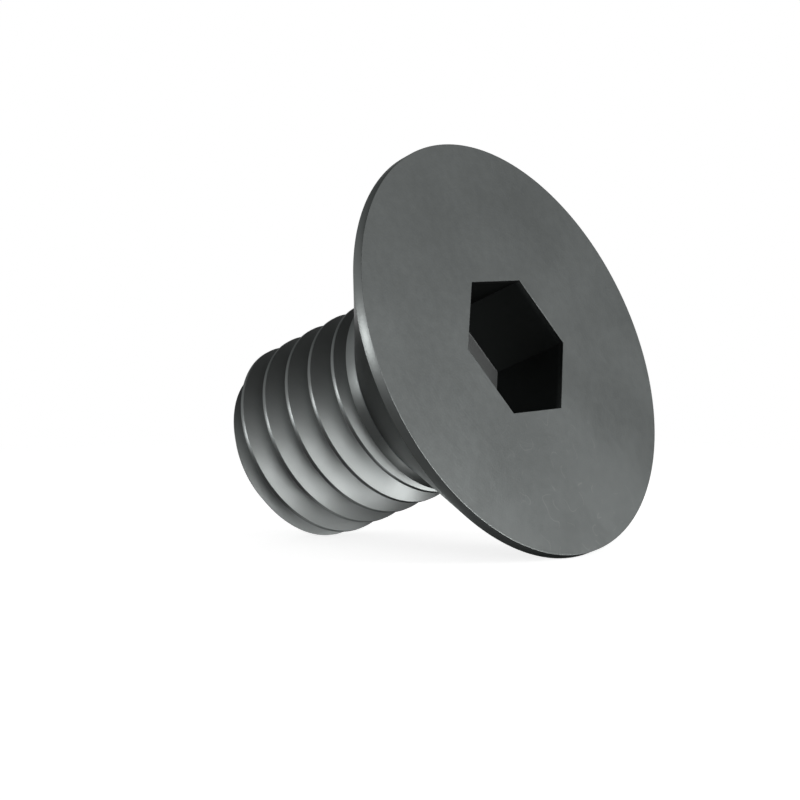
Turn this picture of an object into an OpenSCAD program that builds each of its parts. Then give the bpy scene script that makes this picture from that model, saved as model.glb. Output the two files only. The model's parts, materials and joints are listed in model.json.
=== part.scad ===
// Countersunk socket screw, M8 x 12, lying on its head's rim and its point.
// The screw is turned about its own axis first, face at z = 0 and point downwards,
// and then laid down. Distances along the axis are counted from the face.

/* [Head] */
// Diameter of the flat face and of the rim
head_d = 16; // [14:0.1:18]
// Height of the straight rim below the face
rim_h = 0.4; // [0.2:0.05:1]
// Included angle of the cone below the rim
cone_angle = 90; // [80:1:100]

/* [Socket] */
// Width of the hexagonal socket across its flats
socket_af = 5.05; // [4:0.05:6]
// Depth of the socket, from the face to its flat floor
socket_depth = 3.34; // [1.5:0.02:4]
// Turn of the hexagon about the screw's axis
socket_turn = 31.7; // [0:0.1:60]

/* [Shank] */
// Overall length, from the face to the point
length = 12; // [10:0.5:30]
// Diameter of the plain neck between the cone and the thread
neck_d = 8; // [7.9:0.05:9]
// Length of the plain neck
neck_len = 0.5; // [0.2:0.05:2]

/* [Thread] */
// Outer diameter of the thread, over its crests
thread_d = 7.88; // [7.5:0.01:7.88]
// Advance of the thread in one turn
pitch = 1.25; // [0.8:0.05:1.5]
// Angle between the two flanks of the thread
flank_angle = 60; // [50:1:70]
// Turn of the thread about the screw's axis
thread_turn = 59; // [0:1:360]
// Diameter of the point's flat end
point_d = 6.3; // [4:0.1:6.5]
// Angle of the point's chamfer, measured from the axis
point_angle = 45; // [30:1:60]

/* [Hidden] */
$fn = 120;

// Steps of the thread in one turn, and steps of the search for the resting angle
turn_steps = 60;
rest_steps = 400;
// A tool passes this far through the face it opens, and the point's blank
// stands this far outside the crests
clearance = 1;

head_r = head_d / 2;
neck_r = neck_d / 2;
crest_r = thread_d / 2;
point_r = point_d / 2;
cone_h = (head_r - neck_r) / tan(cone_angle / 2);
head_h = rim_h + cone_h;
neck_end = head_h + neck_len;

// A metric thread: its sharp triangle loses an eighth of its height at the crest
// and a sixth at the root, which leaves these flats and this depth.
crest_flat = pitch / 8;
root_flat = pitch / 6;
flank_run = (pitch - crest_flat - root_flat) / 2;
thread_depth = flank_run / tan(flank_angle / 2);
root_r = crest_r - thread_depth;

// Where a crest starts on the side that the screw lies on, counted from the face.
// The first one lies inside the head, so that the thread's blunt start is buried.
crest_phase = pitch * thread_turn / 360;
first_crest = crest_phase + pitch * floor((head_h - crest_phase) / pitch);
turns = ceil((length - first_crest) / pitch) + 1;

// The four corners of one thread turn: distance from the crest's start, and radius
corner_t = [0, crest_flat, crest_flat + flank_run, crest_flat + flank_run + root_flat];
corner_r = [crest_r, crest_r, root_r, root_r];
corners = len(corner_t);
rows = corners * turns + 1;

// Radius of the thread at a distance t, on the side that the screw lies on
function thread_r(t) =
    let (s = t - crest_phase - pitch * floor((t - crest_phase) / pitch))
    lookup(s, concat([for (k = [0 : corners - 1]) [corner_t[k], corner_r[k]]], [[pitch, crest_r]]));

// Radius of the chamfered point at a distance t
function point_cut_r(t) = point_r + (length - t) * tan(point_angle);

// The screw lies on its rim and on the first part of the thread that meets the
// line from the rim, so the smallest slope to any of its points is its tilt.
rest_tilt = min([
    for (k = [0 : rest_steps])
        let (t = neck_end + (length - neck_end) * k / rest_steps)
        let (r = min(thread_r(t), point_cut_r(t)))
        atan2(head_r - r, t - rim_h)
]);

// Extent of the lying screw: how far the face's lower edge and the point reach
// along the floor, and how far the rim reaches below the face's centre
reach_head = head_r * sin(rest_tilt);
reach_point = length * cos(rest_tilt) + point_r * sin(rest_tilt);
rim_drop = head_r * cos(rest_tilt) + rim_h * sin(rest_tilt);

// Corner j of the thread at step i around the axis: the row climbs one pitch a turn
function thread_point(i, j) =
    let (k = j % corners)
    let (t = first_crest + pitch * floor(j / corners) + corner_t[k] - pitch * i / turn_steps)
    let (a = 360 * i / turn_steps)
    [corner_r[k] * cos(a), corner_r[k] * sin(a), -t];

// Number of that corner in the list of points. Past the last step a row goes on
// as the row one turn nearer to the head.
function corner_id(i, j) = i < turn_steps ? i * rows + j : j - corners;

// Head and neck in one turned piece
module turned_blank() {
    rotate_extrude()
        polygon([
            [0, 0],
            [head_r, 0],
            [head_r, -rim_h],
            [neck_r, -head_h],
            [neck_r, -neck_end],
            [0, -neck_end]
        ]);
}

// The endless thread: helical rows of corners, closed by a fan at either end
module thread_form() {
    points = concat(
        [for (i = [0 : turn_steps - 1]) for (j = [0 : rows - 1]) thread_point(i, j)],
        [
            [0, 0, -(first_crest - pitch / 2)],
            [0, 0, -(first_crest + pitch * (turns - 1 / 2))]
        ]
    );
    start_centre = turn_steps * rows;
    end_centre = start_centre + 1;
    last = turn_steps - 1;

    // Two triangles for each cell; the last step's first turn has no neighbour
    wall = [
        for (i = [0 : last])
            for (j = [(i == last ? corners : 0) : rows - 2])
                each [
                    [corner_id(i, j), corner_id(i + 1, j), corner_id(i + 1, j + 1)],
                    [corner_id(i, j), corner_id(i + 1, j + 1), corner_id(i, j + 1)]
                ]
    ];

    // Edge loops of the two ends, each ending one turn further along
    start_loop = concat(
        [for (i = [0 : last]) corner_id(i, 0)],
        [for (j = [1 : corners]) corner_id(last, j)]
    );
    end_loop = concat(
        [for (i = [0 : last]) corner_id(i, rows - 1)],
        [for (j = [rows - 1 - corners : rows - 2]) corner_id(0, j)]
    );
    start_fan = [
        for (k = [0 : len(start_loop) - 1])
            [start_centre, start_loop[(k + 1) % len(start_loop)], start_loop[k]]
    ];
    end_fan = [
        for (k = [0 : len(end_loop) - 1])
            [end_centre, end_loop[k], end_loop[(k + 1) % len(end_loop)]]
    ];
    polyhedron(points = points, faces = concat(wall, start_fan, end_fan));
}

// What the thread is cut from: a rod with a chamfered point, from the cone's end down
module point_blank() {
    rod_r = crest_r + clearance;
    rotate_extrude()
        polygon([
            [0, -head_h],
            [rod_r, -head_h],
            [rod_r, -(length - (rod_r - point_r) / tan(point_angle))],
            [point_r, -length],
            [0, -length]
        ]);
}

// Hexagonal socket with a flat floor
module socket() {
    rotate([0, 0, socket_turn])
        translate([0, 0, -socket_depth])
            cylinder(d = socket_af / cos(30), h = socket_depth + clearance, $fn = 6);
}

// The whole screw on its own axis
module upright_screw() {
    difference() {
        union() {
            turned_blank();
            intersection() {
                thread_form();
                point_blank();
            }
        }
        socket();
    }
}

// The screw as it lies, with the middle of its footprint at the origin
module countersunk_screw() {
    color([0.22, 0.23, 0.23])
        translate([(reach_point - reach_head) / 2, 0, rim_drop])
            rotate([0, 90 - rest_tilt, 0])
                upright_screw();
}

countersunk_screw();
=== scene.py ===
"""Looks of a short countersunk socket screw, which lies on its rim and its point.

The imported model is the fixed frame. One closed skin, with the thread's full form and the
small edge radii, stands for its one node and wears a satin black oxide.
"""
import json
import logging
from dataclasses import dataclass
from enum import Enum

import bmesh
import bpy
import numpy as np
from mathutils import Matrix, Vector

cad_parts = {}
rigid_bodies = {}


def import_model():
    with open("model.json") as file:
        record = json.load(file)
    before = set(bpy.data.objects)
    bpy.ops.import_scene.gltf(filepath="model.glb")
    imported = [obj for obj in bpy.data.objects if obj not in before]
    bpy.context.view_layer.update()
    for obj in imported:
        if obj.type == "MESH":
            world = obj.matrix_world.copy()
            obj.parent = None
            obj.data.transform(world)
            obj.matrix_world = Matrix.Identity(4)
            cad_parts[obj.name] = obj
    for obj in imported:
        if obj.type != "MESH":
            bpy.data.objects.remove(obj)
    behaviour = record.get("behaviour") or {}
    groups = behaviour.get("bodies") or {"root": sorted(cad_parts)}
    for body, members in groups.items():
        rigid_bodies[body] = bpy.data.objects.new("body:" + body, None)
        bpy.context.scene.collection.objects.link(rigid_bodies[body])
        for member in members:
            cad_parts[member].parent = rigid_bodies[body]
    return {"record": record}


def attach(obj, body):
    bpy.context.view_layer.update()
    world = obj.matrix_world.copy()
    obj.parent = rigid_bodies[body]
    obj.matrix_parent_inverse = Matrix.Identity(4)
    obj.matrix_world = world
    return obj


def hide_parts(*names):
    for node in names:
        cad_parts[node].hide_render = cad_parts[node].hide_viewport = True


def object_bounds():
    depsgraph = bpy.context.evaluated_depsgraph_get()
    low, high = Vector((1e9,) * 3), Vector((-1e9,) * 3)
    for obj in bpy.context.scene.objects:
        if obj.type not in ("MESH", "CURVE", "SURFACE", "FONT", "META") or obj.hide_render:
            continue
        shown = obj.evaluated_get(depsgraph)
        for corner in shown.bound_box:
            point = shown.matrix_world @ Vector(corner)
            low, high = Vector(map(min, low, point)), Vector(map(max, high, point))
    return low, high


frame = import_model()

LOG = logging.getLogger("countersunk_screw")
MM = 0.001
FULL_TURN = 2.0 * np.pi


class Ray(Enum):
    """Facts about a ray, each by the name of its output on a Light Path node.

    All but the last are kinds of ray, and the last counts how often a matt surface has
    scattered it.
    """

    CAMERA = "Is Camera Ray"
    GLOSSY = "Is Glossy Ray"
    TRANSMISSION = "Is Transmission Ray"
    MATT_BOUNCES = "Diffuse Depth"


@dataclass(frozen=True)
class Value:
    """A number, vector or colour on a node's output, for use in Python expressions.

    Attributes:
        sheet: the node sheet that it stands on.
        socket: the output that carries it.
    """

    sheet: "NodeSheet"
    socket: bpy.types.NodeSocket

    def __add__(self, other: "Value | float") -> "Value":
        """This value plus another."""
        return self.sheet.maths("ADD", self, other)

    def __radd__(self, other: float) -> "Value":
        """A number plus this value."""
        return self.sheet.maths("ADD", other, self)

    def __sub__(self, other: "Value | float") -> "Value":
        """This value less another."""
        return self.sheet.maths("SUBTRACT", self, other)

    def __rsub__(self, other: float) -> "Value":
        """A number less this value."""
        return self.sheet.maths("SUBTRACT", other, self)

    def __mul__(self, other: "Value | float") -> "Value":
        """This value times another."""
        return self.sheet.maths("MULTIPLY", self, other)

    def __rmul__(self, other: float) -> "Value":
        """A number times this value."""
        return self.sheet.maths("MULTIPLY", other, self)

    def __abs__(self) -> "Value":
        """This value without its sign."""
        return self.sheet.maths("ABSOLUTE", self)


class NodeSheet:
    """The nodes of one material or world, emptied and filled anew by expressions."""

    def __init__(self, tree: bpy.types.NodeTree) -> None:
        """Empties the tree.

        Args:
            tree: node tree of the material or world.
        """
        tree.nodes.clear()
        self.tree = tree

    def node(
        self,
        kind: str,
        settings: dict[str, object] | None = None,
        inputs: dict[str | int, object] | None = None,
    ) -> bpy.types.Node:
        """Adds a node.

        Args:
            kind: the node's type.
            settings: its settings by name, which are set first.
            inputs: what its sockets hold, by name or number: numbers, colours, vectors, values
                or other nodes' outputs.

        Returns:
            The node.
        """
        node = self.tree.nodes.new(kind)
        for name, setting in (settings or {}).items():
            setattr(node, name, setting)
        for name, given in (inputs or {}).items():
            link = given.socket if isinstance(given, Value) else given
            if isinstance(link, bpy.types.NodeSocket):
                self.tree.links.new(link, node.inputs[name])
            else:
                node.inputs[name].default_value = link
        return node

    def value(self, node: bpy.types.Node, output: str | int = 0) -> Value:
        """Takes a node's output as a value."""
        return Value(self, node.outputs[output])

    def maths(self, operation: str, *terms: "Value | float") -> Value:
        """Works on numbers with a Math node."""
        node = self.node("ShaderNodeMath", {"operation": operation}, dict(enumerate(terms)))
        return self.value(node)

    def vector(self, operation: str, *terms: object, output: str = "Vector") -> Value:
        """Works on vectors with a Vector Math node."""
        node = self.node("ShaderNodeVectorMath", {"operation": operation}, dict(enumerate(terms)))
        return self.value(node, output)

    def step(self, value: Value, low: float, high: float) -> Value:
        """Rises smoothly from 0 where the value is low to 1 where it is high.

        Args:
            value: the value.
            low: below this the step is 0.
            high: above this the step is 1.

        Returns:
            The step.
        """
        node = self.node(
            "ShaderNodeMapRange",
            {"interpolation_type": "SMOOTHSTEP"},
            {"Value": value, "From Min": low, "From Max": high},
        )
        return self.value(node)

    def noise(self, place: Value, scale: float, detail: float) -> Value:
        """Cloudy noise about 0.5.

        Args:
            place: where the point lies.
            scale: patches in each unit of length.
            detail: how many times finer patches are added, each half as strong.

        Returns:
            The noise.
        """
        node = self.node(
            "ShaderNodeTexNoise",
            {"normalize": True},
            {"Vector": place, "Scale": scale, "Detail": detail, "Roughness": 0.5},
        )
        return self.value(node, "Fac")

    def blend(self, share: Value, first: object, second: object) -> Value:
        """Blends two colours.

        Args:
            share: 0 where the first colour shows and 1 where the second does.
            first: the first colour.
            second: the second colour.

        Returns:
            The blend.
        """
        node = self.node(
            "ShaderNodeMix",
            {"data_type": "RGBA"},
            {"Factor": share, 6: first, 7: second},
        )
        return self.value(node, 2)

    def ray(self, fact: Ray) -> Value:
        """A fact about the ray: one if it is of that kind and otherwise nothing, or its count."""
        return self.value(self.node("ShaderNodeLightPath"), fact.value)

    def mirrored(self) -> Value:
        """One on glossy rays that no matt surface has scattered before, and otherwise nothing."""
        unscattered = self.maths("LESS_THAN", self.ray(Ray.MATT_BOUNCES), 0.5)
        return self.ray(Ray.GLOSSY) * unscattered

    def output(self, kind: str, shader: bpy.types.Node) -> None:
        """Ends the sheet with an output node that shows the shader."""
        self.node(kind, None, {"Surface": shader.outputs[0]})


def unit(vectors: np.ndarray) -> np.ndarray:
    """Scales each row of an array to length one.

    Args:
        vectors: array whose last axis holds the coordinates.

    Returns:
        The array, divided by the length along its last axis.
    """
    return vectors / np.linalg.norm(vectors, axis=-1, keepdims=True)


def filleted(corners: np.ndarray, fillets: np.ndarray, steps: int) -> np.ndarray:
    """Rounds the inner corners of an open outline.

    Each arc's centre lies on the corner's bisector, at the fillet's radius divided by the
    cosine of half the turn. The arc runs between the two points of contact in equal angles.

    Args:
        corners: outline, one row of two coordinates a corner.
        fillets: radius at each corner but the first and the last.
        steps: segments in each arc.

    Returns:
        The first corner, all arcs in order and the last corner.
    """
    before = unit(corners[1:-1] - corners[:-2])
    after = unit(corners[2:] - corners[1:-1])
    half_turn = 0.5 * np.arccos(np.clip((before * after).sum(axis=1), -1.0, 1.0))
    towards = unit(after - before)
    along = unit(after + before)
    centre = corners[1:-1] + towards * (fillets / np.cos(half_turn))[:, None]
    sweep = np.linspace(-1.0, 1.0, steps + 1) * half_turn[:, None]
    reach = along[:, None] * np.sin(sweep)[..., None] - towards[:, None] * np.cos(sweep)[..., None]
    arcs = centre[:, None] + fillets[:, None, None] * reach
    return np.concatenate([corners[:1], arcs.reshape(-1, 2), corners[-1:]])


@dataclass(frozen=True)
class ScrewAxis:
    """The screw's own axes as it lies, in millimetres.

    Attributes:
        face_centre: middle of the flat face.
        inward: unit vector from the face to the point.
        down: unit vector across the axis, to the side that the screw lies on.
        side: unit vector across both.
    """

    face_centre: np.ndarray
    inward: np.ndarray
    down: np.ndarray
    side: np.ndarray

    @classmethod
    def from_mount(cls, mount: dict[str, object], depth: float) -> "ScrewAxis":
        """Takes the axes from a mount on the screw's axis, whose axis points to the thread.

        Args:
            mount: the mount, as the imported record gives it.
            depth: how far the mount lies below the face.

        Returns:
            The screw's axes.
        """
        inward = unit(np.array(mount["axis"], float))
        face_centre = np.array(mount["pos_m"], float) / MM - inward * depth
        upright = np.array([0.0, 0.0, 1.0])
        side = unit(np.cross(inward, upright))
        return cls(face_centre, inward, np.cross(side, -inward), side)

    def place(self, depth: np.ndarray, radius: np.ndarray, angle: np.ndarray) -> np.ndarray:
        """Finds points on the screw: the face's centre, plus the depth along the inward axis,
        plus the radius times the cosine of the angle along the down axis and its sine along
        the side axis.

        Args:
            depth: distances below the face.
            radius: distances from the axis.
            angle: angles about the axis, from the down side.

        Returns:
            The points, with their three coordinates on a new last axis.
        """
        across = np.cos(angle)[..., None] * self.down + np.sin(angle)[..., None] * self.side
        return self.face_centre + depth[..., None] * self.inward + radius[..., None] * across


@dataclass(frozen=True)
class SkinPlace:
    """Where a point of the skin lies on the screw, as values in millimetres.

    Attributes:
        offset: vector from the middle of the face, along the part's axes.
        depth: distance below the face.
        radius: distance from the axis.
        down: distance across the axis, to the side that the screw lies on.
        side: distance across both.
    """

    offset: Value
    depth: Value
    radius: Value
    down: Value
    side: Value

    @classmethod
    def on(cls, sheet: NodeSheet, axis: ScrewAxis) -> "SkinPlace":
        """Reads the place from the Object coordinates: they are scaled to millimetres, the face's
        middle is taken from them, and the rest are the scalar products with the screw's axes.

        Args:
            sheet: the material's node sheet.
            axis: the screw's axes.

        Returns:
            The place.
        """
        metres = sheet.value(sheet.node("ShaderNodeTexCoord"), "Object")
        millimetres = sheet.vector("MULTIPLY", metres, (1.0 / MM,) * 3)
        offset = sheet.vector("SUBTRACT", millimetres, tuple(axis.face_centre))
        depth, down, side = (
            sheet.vector("DOT_PRODUCT", offset, tuple(way), output="Value")
            for way in (axis.inward, axis.down, axis.side)
        )
        radius = sheet.maths("SQRT", down * down + side * side)
        return cls(offset, depth, radius, down, side)


@dataclass(frozen=True)
class Rows:
    """Rings of the skin, a row for each ring and a column for each angle, in millimetres.

    Attributes:
        depth: distances below the face.
        radius: distances from the axis.
    """

    depth: np.ndarray
    radius: np.ndarray

    @classmethod
    def turned(cls, outline: np.ndarray, columns: int) -> "Rows":
        """Turns an outline of depth and radius about the axis, so that each ring is round."""
        ring = np.ones(columns)
        return cls(np.outer(outline[:, 0], ring), np.outer(outline[:, 1], ring))

    @classmethod
    def stacked(cls, strips: list["Rows"]) -> "Rows":
        """Joins strips of rings, one after the other, into one."""
        return cls(
            np.concatenate([strip.depth for strip in strips]),
            np.concatenate([strip.radius for strip in strips]),
        )


@dataclass(frozen=True)
class HexSocket:
    """The hexagonal socket, with a flat floor and sharp walls, in millimetres.

    Attributes:
        across_flats: width of the hexagon.
        depth: from the face to the floor.
        turn: angle of one corner, in degrees from the down side.
        mouth_bevel: width of the broken edge at the mouth.
        foot_fillet: radius between the floor and the walls.
        foot_steps: segments in that fillet.
        floor_shares: rings on the floor, as shares of the hexagon.
    """

    across_flats: float = 5.05
    depth: float = 3.34
    turn: float = 31.7
    mouth_bevel: float = 0.012
    foot_fillet: float = 0.04
    foot_steps: int = 3
    floor_shares: tuple[float, ...] = (0.0, 0.25, 0.5, 0.75)

    def hexagon(self, angle: np.ndarray) -> np.ndarray:
        """Radius of the hexagon: half its width across the flats, divided by the cosine of the
        angle from the middle of the nearest flat.

        Args:
            angle: angles about the axis.

        Returns:
            The radius at each angle.
        """
        sixth = FULL_TURN / 6
        from_flat = np.mod(angle - np.radians(self.turn), sixth) - sixth / 2
        return self.across_flats / 2 / np.cos(from_flat)

    def rows(self, angle: np.ndarray) -> Rows:
        """Rings of the socket, from the middle of its floor to its mouth.

        The floor's rings are shares of the hexagon. The foot's and the wall's rings are the
        hexagon, drawn in or out by the outline of a filleted corner and a bevelled edge. The
        outline starts two fillet radii inside the walls, so that the fillet has room.

        Args:
            angle: one angle a column.

        Returns:
            The rings.
        """
        hexagon = self.hexagon(angle)
        shares = np.array(self.floor_shares)
        floor = Rows(
            np.full((len(shares), len(angle)), self.depth),
            np.outer(shares, hexagon),
        )
        corners = np.array([
            [self.depth, -2 * self.foot_fillet],
            [self.depth, 0.0],
            [self.mouth_bevel, 0.0],
        ])
        wall = filleted(corners, np.array([self.foot_fillet]), self.foot_steps)
        edge = np.array([[0.0, self.mouth_bevel]])
        outline = np.concatenate([wall, edge])
        sides = Rows(
            np.outer(outline[:, 0], np.ones(len(angle))),
            outline[:, 1][:, None] + hexagon,
        )
        return Rows.stacked([floor, sides])


@dataclass(frozen=True)
class CountersunkHead:
    """Face, rim, cone and plain neck, in millimetres.

    Attributes:
        radius: of the face and the rim.
        rim_height: height of the straight rim.
        neck_radius: radius of the plain neck.
        cone_end: depth at which the cone meets the neck.
        neck_end: depth at which the neck ends.
        edge_fillets: radii at the face's edge, the rim's lower edge, the cone's foot and
            the neck's end.
        fillet_steps: segments in each fillet.
        face_shares: rings on the face, as shares of the way from the socket to the rim.
    """

    radius: float = 8.0
    rim_height: float = 0.4
    neck_radius: float = 4.0
    cone_end: float = 4.4
    neck_end: float = 4.9
    edge_fillets: tuple[float, ...] = (0.008, 0.015, 0.15, 0.03)
    fillet_steps: int = 3
    face_shares: tuple[float, ...] = (0.1, 0.3, 0.6, 0.9)

    def rows(self, mouth: np.ndarray) -> Rows:
        """Rings from the face to the neck's end.

        The face's rings pass from the socket's mouth to the round edge in straight shares, and
        the rest is one filleted outline turned about the axis. The outline starts a little inside
        the face's edge, so that its first fillet has room.

        Args:
            mouth: radius of the socket's mouth in each column.

        Returns:
            The rings.
        """
        corners = np.array([
            [0.0, self.radius - 4 * self.edge_fillets[0]],
            [0.0, self.radius],
            [self.rim_height, self.radius],
            [self.cone_end, self.neck_radius],
            [self.neck_end, self.neck_radius],
            [self.neck_end, self.neck_radius - self.edge_fillets[-1]],
        ])
        outline = filleted(corners, np.array(self.edge_fillets), self.fillet_steps)
        shares = np.array(self.face_shares)[:, None]
        face = Rows(
            np.zeros((len(shares), len(mouth))),
            mouth + shares * (corners[0, 1] - mouth),
        )
        return Rows.stacked([face, Rows.turned(outline, len(mouth))])


@dataclass(frozen=True)
class MetricThread:
    """The right-hand thread and the chamfered point, in millimetres.

    Attributes:
        start: depth of the first ring, at the neck's end.
        end: depth of the point's flat end.
        crest_radius: outer radius.
        pitch: advance in one turn.
        flank_angle: angle between the flanks, in degrees.
        turn: angle at which a crest begins level with the face, in degrees.
        edge_fillet: radius at the edges of the crest and of the root.
        edge_steps: segments in each of them.
        point_radius: radius of the point's flat end.
        point_angle: angle of the chamfer to the axis, in degrees.
        point_shares: rings on the flat end, as shares of its radius.
    """

    start: float
    end: float = 12.0
    crest_radius: float = 3.94
    pitch: float = 1.25
    flank_angle: float = 60.0
    turn: float = 59.0
    edge_fillet: float = 0.012
    edge_steps: int = 2
    point_radius: float = 3.15
    point_angle: float = 45.0
    point_shares: tuple[float, ...] = (0.97, 0.7, 0.35, 0.0)

    @property
    def crest_flat(self) -> float:
        """Width of the flat crest, an eighth of the pitch."""
        return self.pitch / 8

    @property
    def root_flat(self) -> float:
        """Width of the flat root, a sixth of the pitch."""
        return self.pitch / 6

    def profile(self) -> np.ndarray:
        """One pitch of the thread, from the middle of a crest to the next one.

        The flanks are straight, the crest and the root are flat, and small arcs break the edges
        of both.

        Returns:
            Rows of depth, counted from the middle of the crest, and radius.
        """
        flank_run = (self.pitch - self.crest_flat - self.root_flat) / 2
        root_radius = self.crest_radius - flank_run / np.tan(np.radians(self.flank_angle / 2))
        half_crest = self.crest_flat / 2
        root_start = half_crest + flank_run
        corners = np.array([
            [0.0, self.crest_radius],
            [half_crest, self.crest_radius],
            [root_start, root_radius],
            [root_start + self.root_flat, root_radius],
            [self.pitch - half_crest, self.crest_radius],
            [self.pitch, self.crest_radius],
        ])
        return filleted(corners, np.full(4, self.edge_fillet), self.edge_steps)

    def chamfer(self, depth: np.ndarray) -> np.ndarray:
        """Radius of the point's chamfer at each depth."""
        return self.point_radius + (self.end - depth) * np.tan(np.radians(self.point_angle))

    def coils(self, angle: np.ndarray) -> Rows:
        """Rings of the full thread, whose point isn't cut yet.

        Each ring is one corner of the profile, which climbs one pitch a turn. Where a ring would
        leave the thread's length, it is held at its end, with the profile's radius there.

        Args:
            angle: one angle a column, over less than one turn.

        Returns:
            The rings.
        """
        profile = self.profile()
        middle = self.pitch * np.radians(self.turn) / FULL_TURN + self.crest_flat / 2
        rise = middle - self.pitch * angle / FULL_TURN
        first = int(np.floor((self.start - rise.max()) / self.pitch))
        last = int(np.ceil((self.end - rise.min()) / self.pitch))
        corners = np.concatenate([
            profile[:-1, 0] + self.pitch * turn for turn in range(first, last + 1)
        ])
        depth = np.clip(corners[:, None] + rise, self.start, self.end)
        phase = np.mod(depth - rise, self.pitch)
        return Rows(depth, np.interp(phase, profile[:, 0], profile[:, 1]))

    def chamfered(self, coils: Rows) -> Rows:
        """Cuts the coils by the point's chamfer.

        Between each two rings another one stands where the chamfer cuts the profile. Where it
        doesn't, the new ring lies on the one of the two that is nearer to the chamfer. All radii
        stay inside the chamfer.

        Args:
            coils: rings of the full thread.

        Returns:
            The rings and the new ones between them.
        """
        depth, radius = coils.depth, coils.radius
        excess = radius - self.chamfer(depth)
        spread = excess[:-1] - excess[1:]
        steady = np.abs(spread) < 1e-12
        share = np.clip(excess[:-1] / np.where(steady, 1.0, spread), 0.0, 1.0)
        share = np.where(steady, 0.0, share)
        cut_depth = depth[:-1] + share * (depth[1:] - depth[:-1])
        cut_radius = radius[:-1] + share * (radius[1:] - radius[:-1])
        order = np.argsort(np.concatenate([
            np.arange(len(depth)), np.arange(len(cut_depth)) + 0.5
        ]))
        depth = np.concatenate([depth, cut_depth])[order]
        radius = np.concatenate([radius, cut_radius])[order]
        return Rows(depth, np.minimum(radius, self.chamfer(depth)))

    def rows(self, angle: np.ndarray) -> Rows:
        """Rings from the neck's end to the middle of the point.

        They are the coils that leave the first and the last depth, with one more at each end,
        and then rings on the flat end in shares of its radius.

        Args:
            angle: one angle a column, over less than one turn.

        Returns:
            The rings.
        """
        coils = self.chamfered(self.coils(angle))
        used = (coils.depth > self.start).any(axis=1) & (coils.depth < self.end).any(axis=1)
        first, last = np.flatnonzero(used)[[0, -1]]
        kept = slice(first - 1, last + 2)
        shares = np.array(self.point_shares)
        flat_end = np.stack([np.full(len(shares), self.end), shares * self.point_radius], axis=1)
        return Rows.stacked([
            Rows(coils.depth[kept], coils.radius[kept]),
            Rows.turned(flat_end, len(angle)),
        ])


@dataclass(frozen=True)
class Screw:
    """The whole screw: one closed skin from the socket's floor round to the point.

    Attributes:
        head: face, rim, cone and neck.
        socket: the hexagonal socket.
        thread: thread and point.
        columns: columns round the axis, a multiple of six so that the hexagon's corners are met.
        weld: points nearer than this are one, in millimetres.
        shortest_edge: edges shorter than this are dissolved, in millimetres.
        sharp_angle: faces that meet at more than this stay sharp, in degrees.
    """

    head: CountersunkHead = CountersunkHead()
    socket: HexSocket = HexSocket()
    thread: MetricThread = MetricThread(start=CountersunkHead.neck_end)
    columns: int = 360
    weld: float = 0.001
    shortest_edge: float = 0.0001
    sharp_angle: float = 28.0

    def axis(self) -> ScrewAxis:
        """The screw's axes, from the neck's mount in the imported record."""
        neck = next(mount for mount in frame["record"]["mounts"] if mount["name"] == "neck")
        return ScrewAxis.from_mount(neck, (self.head.cone_end + self.head.neck_end) / 2)

    def skin(self) -> tuple[np.ndarray, np.ndarray]:
        """Works out the skin as a grid of rings and columns.

        Returns:
            The points in metres, and the four corners of each face, outward side first.
        """
        angle = np.radians(self.socket.turn) + FULL_TURN * np.arange(self.columns) / self.columns
        socket = self.socket.rows(angle)
        rows = Rows.stacked([
            socket,
            self.head.rows(socket.radius[-1]),
            self.thread.rows(angle),
        ])
        angles = np.broadcast_to(angle, rows.depth.shape)
        points = self.axis().place(rows.depth, rows.radius, angles)
        ring = np.arange(self.columns)
        beside = np.roll(ring, -1)
        this = (np.arange(len(rows.depth) - 1) * self.columns)[:, None]
        below = this + self.columns
        corners = [this + ring, below + ring, below + beside, this + beside]
        return points.reshape(-1, 3) * MM, np.stack(corners, axis=-1).reshape(-1, 4)

    def build(self) -> bpy.types.Object:
        """Makes the skin's mesh, welds its poles and closes it.

        Returns:
            The object, at the origin.
        """
        points, faces = self.skin()
        mesh = bpy.data.meshes.new("screw_body")
        mesh.from_pydata(points, [], faces)
        work = bmesh.new()
        work.from_mesh(mesh)
        bmesh.ops.remove_doubles(work, verts=work.verts, dist=self.weld * MM)
        bmesh.ops.dissolve_degenerate(work, edges=work.edges, dist=self.shortest_edge * MM)
        work.to_mesh(mesh)
        work.free()
        mesh.shade_smooth()
        mesh.set_sharp_from_angle(angle=np.radians(self.sharp_angle))
        body = bpy.data.objects.new("screw_body", mesh)
        bpy.context.scene.collection.objects.link(body)
        flats_lead = body.modifiers.new("flats_lead", "WEIGHTED_NORMAL")
        flats_lead.mode = "FACE_AREA"
        flats_lead.keep_sharp = True
        return body


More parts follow.
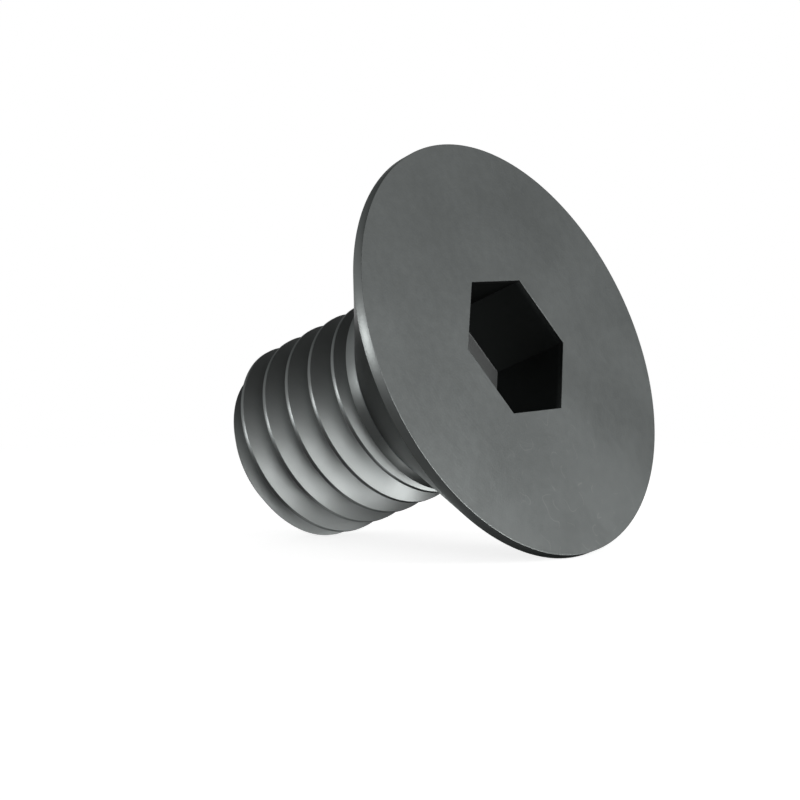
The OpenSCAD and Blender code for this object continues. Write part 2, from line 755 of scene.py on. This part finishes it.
@dataclass(frozen=True)
class BlackOxide:
    """Satin black oxide on machined steel.

    The coat is cloudy and finely speckled. The turned surfaces keep faint rings of the tool. The
    thread's flanks are duller and lighter: partly a duller finish from thread rolling, partly
    painted light that stands in for light their grooves don't get. The socket's walls are far
    darker, which is painted shade in the recess, and its floor is lighter, which is painted light.
    Short curved scuffs lie mostly on the lower part of the face.

    Attributes:
        thin: mirror colour where the oxide is thinnest.
        thick: mirror colour where it is thickest.
        socket: mirror colour of the socket's walls, far darker than the face's: painted shade in
            the recess.
        socket_floor_painted_light: mirror colour of its floor, lighter than the face's: painted
            light on a floor that lies in the recess's shade.
        flank_tone_and_light: mirror colour of the thread's flanks, where the oxide is thin, lighter
            than the face's: partly a duller finish from thread rolling, partly painted light for
            light their grooves don't get.
        flank_tone_and_light_share: how much of the way to that colour the flanks go.
        grazing: share of the reflection that is left at a grazing angle.
        turned_roughness: of the turned surfaces.
        flank_roughness: of the thread's flanks and root.
        socket_roughness: in the socket.
        floor_roughness: on the socket's floor.
        cloudy_roughness: how much the clouds and speckles change the roughness.
        socket_mouth: depths at which the socket's painted shade and rougher finish start, and at
            which they are full.
        socket_reach: radii at which they start to end, and at which they have ended.
        floor_margin: how far above the socket's floor its painted light and rougher finish start,
            and are full.
        crest_margin: how far inside the crest the flanks' lighter colour (partly painted light) and
            rougher finish start to end, and have ended.
        neck_margin: how far past the neck's end they are full.
        end_margin: how far before the flat end they start to end, and have ended.
        cloud_range: noise at which the oxide is thickest, and at which it is thinnest.
        cloud_scale: clouds in a millimetre.
        speckle_scale: speckles in a millimetre.
        speckle_share: share of the colour's change that is speckle and not cloud.
        scuff_scale: bends of the scuffs in a millimetre.
        scuff_width: half their width, as a share of the noise that they follow.
        scuff_gaps: how many times finer than their bends they are broken up.
        scuff_pieces: noise at which a piece of a scuff starts, and at which it is full.
        scuff_place: where they lie thickest on the face: down and to the side, in millimetres.
        scuff_reach: distances from there over which they thin out, in millimetres.
        scuff_few: how strong they are everywhere else.
        scuff_gain: how much of the way to the scuffed colour they go.
        scuffed: mirror colour of a full scuff.
        ring_scale: tool rings in a millimetre.
        ring_share: height of the rings as a share of the grain's.
        grain_scale: grains in a millimetre.
        relief: height of the bump's full swing, in millimetres.
    """

    thin: tuple[float, float, float] = (0.138, 0.147, 0.145)
    thick: tuple[float, float, float] = (0.126, 0.134, 0.132)
    # painted shade: the socket's walls are far darker than the oxide elsewhere, for the shade in
    # the recess
    socket: tuple[float, float, float] = (0.038, 0.041, 0.04)
    # painted light: the socket's floor is lighter than the face, to brighten a floor that lies in
    # the recess's shade
    socket_floor_painted_light: tuple[float, float, float] = (0.24, 0.248, 0.245)
    # partly a duller finish from thread rolling, partly painted light: the flanks are lighter than
    # the face for light their grooves don't get
    flank_tone_and_light: tuple[float, float, float] = (0.24, 0.252, 0.249)
    flank_tone_and_light_share: float = 0.85
    grazing: float = 0.3
    turned_roughness: float = 0.34
    flank_roughness: float = 0.5
    socket_roughness: float = 0.5
    floor_roughness: float = 0.75
    cloudy_roughness: float = 0.06
    socket_mouth: tuple[float, float] = (0.02, 0.3)
    socket_reach: tuple[float, float] = (3.0, 3.2)
    floor_margin: tuple[float, float] = (0.02, 0.005)
    crest_margin: tuple[float, float] = (0.004, 0.001)
    neck_margin: float = 0.1
    end_margin: tuple[float, float] = (0.03, 0.01)
    cloud_range: tuple[float, float] = (0.3, 0.7)
    cloud_scale: float = 0.25
    speckle_scale: float = 3.0
    speckle_share: float = 0.35
    scuff_scale: float = 0.9
    scuff_width: float = 0.016
    scuff_gaps: float = 2.2
    scuff_pieces: tuple[float, float] = (0.5, 0.62)
    scuff_place: tuple[float, float] = (6.0, 0.5)
    scuff_reach: tuple[float, float] = (1.5, 5.0)
    scuff_few: float = 0.12
    scuff_gain: float = 0.38
    scuffed: tuple[float, float, float] = (0.2, 0.208, 0.206)
    ring_scale: float = 9.0
    ring_share: float = 0.5
    grain_scale: float = 12.0
    relief: float = 0.002

    def scuffs(self, sheet: NodeSheet, place: SkinPlace) -> Value:
        """Short curved scuffs: the line along which a noise passes its middle, broken up by a
        second noise and thinned out away from the lower part of the face.

        Args:
            sheet: the material's node sheet.
            place: where the point lies.

        Returns:
            Their strength, from 0 to 1.
        """
        bends = sheet.noise(place.offset, self.scuff_scale, detail=1.0)
        line = 1 - sheet.step(abs(bends - 0.5), 0.0, self.scuff_width)
        gaps = sheet.noise(place.offset, self.scuff_gaps * self.scuff_scale, detail=0.0)
        pieces = sheet.step(gaps, *self.scuff_pieces)
        down, side = place.down - self.scuff_place[0], place.side - self.scuff_place[1]
        away = sheet.maths("SQRT", down * down + side * side)
        near = 1 - (1 - self.scuff_few) * sheet.step(away, *self.scuff_reach)
        return line * pieces * near

    def zones(self, sheet: NodeSheet, place: SkinPlace, screw: Screw) -> tuple[Value, Value, Value]:
        """Marks the zones that differ from the turned surfaces, each by smooth steps of the
        depth and the radius.

        Args:
            sheet: the material's node sheet.
            place: where the point lies.
            screw: the screw, whose sizes bound the zones.

        Returns:
            One in the socket, on its floor and on the thread's flanks, and otherwise nothing.
        """
        floor, neck_end = screw.socket.depth, screw.head.neck_end
        crest, end = screw.thread.crest_radius, screw.thread.end
        in_socket = sheet.step(place.depth, *self.socket_mouth)
        in_socket = in_socket * (1 - sheet.step(place.radius, *self.socket_reach))
        above, onto = self.floor_margin
        on_floor = in_socket * sheet.step(place.depth, floor - above, floor - onto)
        below, up_to = self.crest_margin
        nearing, reaching = self.end_margin
        on_flank = sheet.step(place.depth, neck_end, neck_end + self.neck_margin)
        on_flank = on_flank * (1 - sheet.step(place.radius, crest - below, crest - up_to))
        on_flank = on_flank * (1 - sheet.step(place.depth, end - nearing, end - reaching))
        return in_socket, on_floor, on_flank

    def material(self, screw: Screw) -> bpy.types.Material:
        """Makes the finish.

        Args:
            screw: the screw, whose sizes bound the zones and whose axes the marks follow.

        Returns:
            The material.
        """
        material = bpy.data.materials.new("black_oxide")
        material.use_nodes = True
        sheet = NodeSheet(material.node_tree)
        place = SkinPlace.on(sheet, screw.axis())
        in_socket, on_floor, on_flank = self.zones(sheet, place, screw)

        cloud = sheet.noise(place.offset, self.cloud_scale, detail=3.0)
        cloud = sheet.step(cloud, *self.cloud_range)
        speckle = sheet.noise(place.offset, self.speckle_scale, detail=4.0)
        speckle = sheet.step(speckle, *self.cloud_range)
        thinness = (1 - self.speckle_share) * cloud + self.speckle_share * speckle
        colour = sheet.blend(thinness, (*self.thick, 1.0), (*self.thin, 1.0))
        scuffs = self.scuffs(sheet, place)
        colour = sheet.blend(self.scuff_gain * scuffs, colour, (*self.scuffed, 1.0))
        # painted shade in the socket: its walls take a far darker colour
        colour = sheet.blend(in_socket, colour, (*self.socket, 1.0))
        # painted light on the socket's floor: a lighter colour
        colour = sheet.blend(on_floor, colour, (*self.socket_floor_painted_light, 1.0))
        # the flanks' lighter colour: partly their duller finish from rolling, partly painted light
        colour = sheet.blend(self.flank_tone_and_light_share * on_flank, colour, (*self.flank_tone_and_light, 1.0))

        turned = self.turned_roughness
        roughness = turned + (self.flank_roughness - turned) * on_flank
        roughness = roughness + (self.socket_roughness - turned) * in_socket
        roughness = roughness + (self.floor_roughness - self.socket_roughness) * on_floor
        roughness = roughness + self.cloudy_roughness * (thinness - 0.5)

        ring_place = sheet.node("ShaderNodeCombineXYZ", None, {"X": place.depth, "Y": place.radius})
        rings = sheet.noise(sheet.value(ring_place), self.ring_scale, detail=2.0)
        rings = rings * (1 - on_flank) * (1 - in_socket)
        grain = sheet.noise(place.offset, self.grain_scale, detail=2.0)
        bump = sheet.node("ShaderNodeBump", None, {
            "Strength": 1.0,
            "Distance": self.relief * MM,
            "Height": grain + self.ring_share * rings,
        })
        steel = sheet.node("ShaderNodeBsdfPrincipled", None, {
            "Base Color": colour,
            "Metallic": 1.0,
            "Roughness": roughness,
            "Specular Tint": (self.grazing, self.grazing, self.grazing, 1.0),
            "Normal": bump.outputs["Normal"],
        })
        sheet.output("ShaderNodeOutputMaterial", steel)
        return material


@dataclass(frozen=True)
class SoftLamp:
    """A rectangular soft lamp that faces the screw and doesn't show itself.

    Attributes:
        name: what it is called.
        azimuth: where it stands, in degrees from +Y towards +X.
        elevation: how high its middle stands as seen from the screw, in degrees.
        width: in metres.
        height: in metres.
        radiance: how bright its face is, where 1 is white.
        distance: from the screw, in metres.
    """

    name: str
    azimuth: float
    elevation: float
    width: float
    height: float
    radiance: float
    distance: float = 0.3

    def build(self, middle: Vector) -> bpy.types.Object:
        """Makes the lamp.

        Args:
            middle: the point that it faces, in metres.

        Returns:
            The lamp's object.
        """
        azimuth, elevation = np.radians([self.azimuth, self.elevation])
        towards = Vector((
            np.sin(azimuth) * np.cos(elevation),
            np.cos(azimuth) * np.cos(elevation),
            np.sin(elevation),
        ))
        data = bpy.data.lights.new(self.name, "AREA")
        data.shape = "RECTANGLE"
        data.size = self.width
        data.size_y = self.height
        data.energy = self.radiance * np.pi * self.width * self.height
        lamp = bpy.data.objects.new(self.name, data)
        bpy.context.scene.collection.objects.link(lamp)
        lamp.location = middle + towards * self.distance
        lamp.rotation_mode = "QUATERNION"
        lamp.rotation_quaternion = towards.to_track_quat("Z", "Y")
        lamp.visible_camera = False
        return lamp


@dataclass(frozen=True)
class ConeCard:
    """A hidden lit card that follows the cone's lower side and faces the thread.

    The head stands between the thread's lower flanks and the light in front of the screw. Only
    reflections see the card, and only from the thread's side: it is clear from the other.

    Attributes:
        gap: distance between the cone and the card, in millimetres.
        depths: depths below the face at which it starts and ends, in millimetres.
        middle: angle of its middle about the axis, in degrees from the down side.
        reach: angle from there to its ends, in degrees.
        fade: cosines of the angles from its middle at which it has faded out, and at which it
            starts to fade.
        radiance: how bright it is, where 1 is white.
        columns: strips from one end to the other.
    """

    gap: float = 0.12
    depths: tuple[float, float] = (0.8, 4.25)
    middle: float = -25.0
    reach: float = 85.0
    fade: tuple[float, float] = (0.2, 0.75)
    radiance: float = 3.3
    columns: int = 60

    def mesh(self, head: CountersunkHead, axis: ScrewAxis) -> bpy.types.Mesh:
        """Works out the card as one row of faces between two arcs.

        At each depth the arc's radius is the cone's, which is the head's radius plus the rim's
        height less the depth, plus the gap times the root of two, as the cone slopes at 45
        degrees.

        Args:
            head: the head, whose cone it follows.
            axis: the screw's axes.

        Returns:
            The mesh.
        """
        ends = (self.middle - self.reach, self.middle + self.reach)
        angle = np.radians(np.linspace(*ends, self.columns + 1))
        depth = np.repeat(np.array(self.depths)[:, None], len(angle), axis=1)
        radius = head.radius + head.rim_height - depth + self.gap * np.sqrt(2.0)
        points = axis.place(depth, radius, np.broadcast_to(angle, depth.shape)) * MM
        near = np.arange(self.columns)
        far = near + len(angle)
        mesh = bpy.data.meshes.new("cone_card")
        faces = np.stack([near, far, far + 1, near + 1], axis=1)
        mesh.from_pydata(points.reshape(-1, 3), [], faces)
        return mesh

    def material(self, axis: ScrewAxis) -> bpy.types.Material:
        """Makes the card's material: lit in its middle on the thread's side, and else clear.

        Args:
            axis: the screw's axes.

        Returns:
            The material.
        """
        material = bpy.data.materials.new("lit_card")
        material.use_nodes = True
        sheet = NodeSheet(material.node_tree)
        place = SkinPlace.on(sheet, axis)
        turn = np.radians(self.middle)
        towards = place.down * float(np.cos(turn)) + place.side * float(np.sin(turn))
        lit = sheet.step(sheet.maths("DIVIDE", towards, place.radius), *self.fade)
        back = sheet.value(sheet.node("ShaderNodeNewGeometry"), "Backfacing")
        clear = sheet.node("ShaderNodeBsdfTransparent")
        glow = sheet.node("ShaderNodeEmission", None, {"Strength": self.radiance})
        shown = lit * (1 - back) * sheet.mirrored()
        mixed = {"Fac": shown, 1: clear.outputs[0], 2: glow.outputs[0]}
        sheet.output("ShaderNodeOutputMaterial", sheet.node("ShaderNodeMixShader", None, mixed))
        return material

    def build(self, head: CountersunkHead, axis: ScrewAxis) -> bpy.types.Object:
        """Makes the card, which only reflections in the metal see.

        Args:
            head: the head, whose cone it follows.
            axis: the screw's axes.

        Returns:
            The card's object.
        """
        mesh = self.mesh(head, axis)
        mesh.materials.append(self.material(axis))
        card = bpy.data.objects.new("cone_card", mesh)
        bpy.context.scene.collection.objects.link(card)
        card.visible_camera = False
        card.visible_diffuse = False
        card.visible_shadow = False
        card.visible_transmission = False
        return card


@dataclass(frozen=True)
class Pool:
    """A round pool of light on the floor, which only the metal shows.

    Attributes:
        place: where its middle lies, in millimetres.
        reach: distances from there at which it starts to fade and has faded out, in millimetres.
        strength: how bright it is, where 1 is white.
    """

    place: tuple[float, float]
    reach: tuple[float, float]
    strength: float

    def light(self, sheet: NodeSheet, place: Value) -> Value:
        """Works out its brightness: full in the middle, and less by a smooth step further out.

        Args:
            sheet: the floor's node sheet.
            place: the point on the floor, in metres.

        Returns:
            The brightness there.
        """
        middle = (self.place[0] * MM, self.place[1] * MM, 0.0)
        away = sheet.vector("DISTANCE", place, middle, output="Value")
        return self.strength * (1 - sheet.step(away, self.reach[0] * MM, self.reach[1] * MM))


@dataclass(frozen=True)
class Studio:
    """Floor, light and camera.

    Attributes:
        camera_place: where the camera stands, in millimetres.
        camera_forward: unit vector along the camera's view.
        lens: focal length for a 36 mm sensor, in millimetres.
        lamps: the soft lamps.
        ambient: how bright the surroundings are for the floor, where 1 is white.
        ceiling: how bright the ceiling is in the metal's reflection.
        ceiling_rise: sine of the elevation at which the backdrop starts to give way to the
            ceiling, and at which it has done so.
        floor_radius: radius of the floor, in metres.
        floor_columns: corners of the floor's round edge.
        floor_colour: the floor's pale grey.
        floor_lift: light of its own that makes the lit floor white to the camera.
        floor_clear: distance from the screw, in metres, at which the floor starts to merge with
            the white background, and at which it has done so.
        pools: pools of light on the floor in front of the screw and beneath it.
        dim_side: azimuth, in degrees, of the side on which the backdrop is darker to the metal.
        dim_reach: cosines of the angles from there at which it starts to darken, and at which
            it has done so.
        dim_share: how much darker it is there.
    """

    camera_place: tuple[float, float, float] = (53.29, -63.97, 9.29)
    camera_forward: tuple[float, float, float] = (-0.6456, 0.7623, -0.0458)
    lens: float = 98.494
    lamps: tuple[SoftLamp, ...] = (
        SoftLamp("left_lamp", azimuth=219.0, elevation=5.0, width=0.09, height=0.06, radiance=12.0),
        SoftLamp("right_lamp", azimuth=60.0, elevation=8.0, width=0.12, height=0.08, radiance=18.0),
        SoftLamp("front_lamp", azimuth=112.0, elevation=4.0, width=0.26, height=0.07, radiance=9.0),
    )
    ambient: float = 0.3
    ceiling: float = 0.06
    ceiling_rise: tuple[float, float] = (0.42, 0.82)
    floor_radius: float = 3.0
    floor_columns: int = 64
    floor_colour: float = 0.7
    floor_lift: float = 0.8
    floor_clear: tuple[float, float] = (0.02, 0.06)
    pools: tuple[Pool, ...] = (
        Pool(place=(2.9, -4.2), reach=(1.4, 3.0), strength=7.5),
        Pool(place=(3.9, 0.8), reach=(0.8, 2.7), strength=8.5),
        Pool(place=(-3.4, -0.8), reach=(1.0, 3.4), strength=0.9),
    )
    dim_side: float = 0.0
    dim_reach: tuple[float, float] = (0.68, 0.89)
    dim_share: float = 0.45

    def camera(self) -> bpy.types.Object:
        """Makes the camera at the photograph's angle, level, and gives it to the scene.

        Returns:
            The camera.
        """
        data = bpy.data.cameras.new("studio_camera")
        data.lens = self.lens
        data.sensor_width = 36.0
        data.clip_start = 0.001
        camera = bpy.data.objects.new("studio_camera", data)
        bpy.context.scene.collection.objects.link(camera)
        camera.location = Vector(self.camera_place) * MM
        camera.rotation_mode = "QUATERNION"
        camera.rotation_quaternion = Vector(self.camera_forward).to_track_quat("-Z", "Y")
        bpy.context.scene.camera = camera
        return camera

    def surroundings(self) -> bpy.types.World:
        """Makes the world: white to the camera, and to the metal white up to the ceiling.

        Its brightness is 1 on camera rays. On glossy and transmission rays it falls smoothly
        from 1 at the backdrop to the ceiling's shade, by the sine of the ray's elevation, and it
        is less on the dim side. On all others it is the plain ambient level.

        Returns:
            The world.
        """
        world = bpy.data.worlds.new("studio_surroundings")
        world.use_nodes = True
        sheet = NodeSheet(world.node_tree)
        direction = sheet.value(sheet.node("ShaderNodeTexCoord"), "Generated")
        rise = sheet.value(sheet.node("ShaderNodeSeparateXYZ", None, {"Vector": direction}), "Z")
        backdrop = 1 - (1 - self.ceiling) * sheet.step(rise, *self.ceiling_rise)
        turn = np.radians(self.dim_side)
        side = (np.sin(turn), np.cos(turn), 0.0)
        dim = sheet.vector("DOT_PRODUCT", direction, side, output="Value")
        backdrop = backdrop * (1 - self.dim_share * sheet.step(dim, *self.dim_reach))
        camera = sheet.ray(Ray.CAMERA)
        mirrored = sheet.ray(Ray.GLOSSY) + sheet.ray(Ray.TRANSMISSION)
        strength = camera + mirrored * backdrop + (1 - camera - mirrored) * self.ambient
        glow = {"Color": (1.0,) * 4, "Strength": strength}
        light = sheet.node("ShaderNodeBackground", None, glow)
        sheet.output("ShaderNodeOutputWorld", light)
        bpy.context.scene.world = world
        return world

    def floor(self) -> bpy.types.Object:
        """Makes the floor: one large disc, pale and matt.

        Near the screw its light is what falls on it, plus its lift on camera rays and the pools
        in the metal, so the screw's shadow stays. Further out it merges with white.

        Returns:
            The floor's object.
        """
        angle = FULL_TURN * np.arange(self.floor_columns) / self.floor_columns
        ring = np.stack([np.cos(angle), np.sin(angle), np.zeros(self.floor_columns)], axis=1)
        mesh = bpy.data.meshes.new("studio_floor")
        mesh.from_pydata(ring * self.floor_radius, [], [list(range(self.floor_columns))])
        floor = bpy.data.objects.new("studio_floor", mesh)
        bpy.context.scene.collection.objects.link(floor)

        material = bpy.data.materials.new("pale_floor")
        material.use_nodes = True
        sheet = NodeSheet(material.node_tree)
        place = sheet.value(sheet.node("ShaderNodeTexCoord"), "Object")
        away = sheet.vector("LENGTH", place, output="Value")
        seen = sheet.ray(Ray.CAMERA) + sheet.ray(Ray.GLOSSY) + sheet.ray(Ray.TRANSMISSION)
        pooled = sum(pool.light(sheet, place) for pool in self.pools)
        lifted = sheet.ray(Ray.CAMERA) * self.floor_lift + sheet.mirrored() * pooled
        pale = (*(self.floor_colour,) * 3, 1.0)
        matt = sheet.node("ShaderNodeBsdfDiffuse", None, {"Color": pale})
        lift = sheet.node("ShaderNodeEmission", None, {"Strength": lifted})
        near = sheet.node("ShaderNodeAddShader", None, {0: matt.outputs[0], 1: lift.outputs[0]})
        white = sheet.node("ShaderNodeEmission", None, {"Strength": 1.0})
        clear = seen * sheet.step(away, *self.floor_clear)
        mixed = {"Fac": clear, 1: near.outputs[0], 2: white.outputs[0]}
        sheet.output("ShaderNodeOutputMaterial", sheet.node("ShaderNodeMixShader", None, mixed))
        mesh.materials.append(material)
        return floor


def main() -> None:
    """Builds the screw and the studio, and reports each piece."""
    logging.basicConfig(level=logging.INFO, format="%(name)s: %(message)s")
    cad_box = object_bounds()
    screw = Screw()
    body = screw.build()
    body.data.materials.append(BlackOxide().material(screw))
    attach(body, "root")
    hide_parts("countersunk_screw")
    LOG.info("screw body: %d points, %d faces", len(body.data.vertices), len(body.data.polygons))
    studio = Studio()
    studio.camera()
    studio.surroundings()
    studio.floor()
    ConeCard().build(screw.head, screw.axis())
    middle = (cad_box[0] + cad_box[1]) / 2
    for lamp in studio.lamps:
        lamp.build(middle)
        LOG.info("%s: %.0f degrees round, brightness %.1f", lamp.name, lamp.azimuth, lamp.radiance)
    bpy.context.scene.view_settings.view_transform = "Standard"


if __name__ == "__main__":
    main()
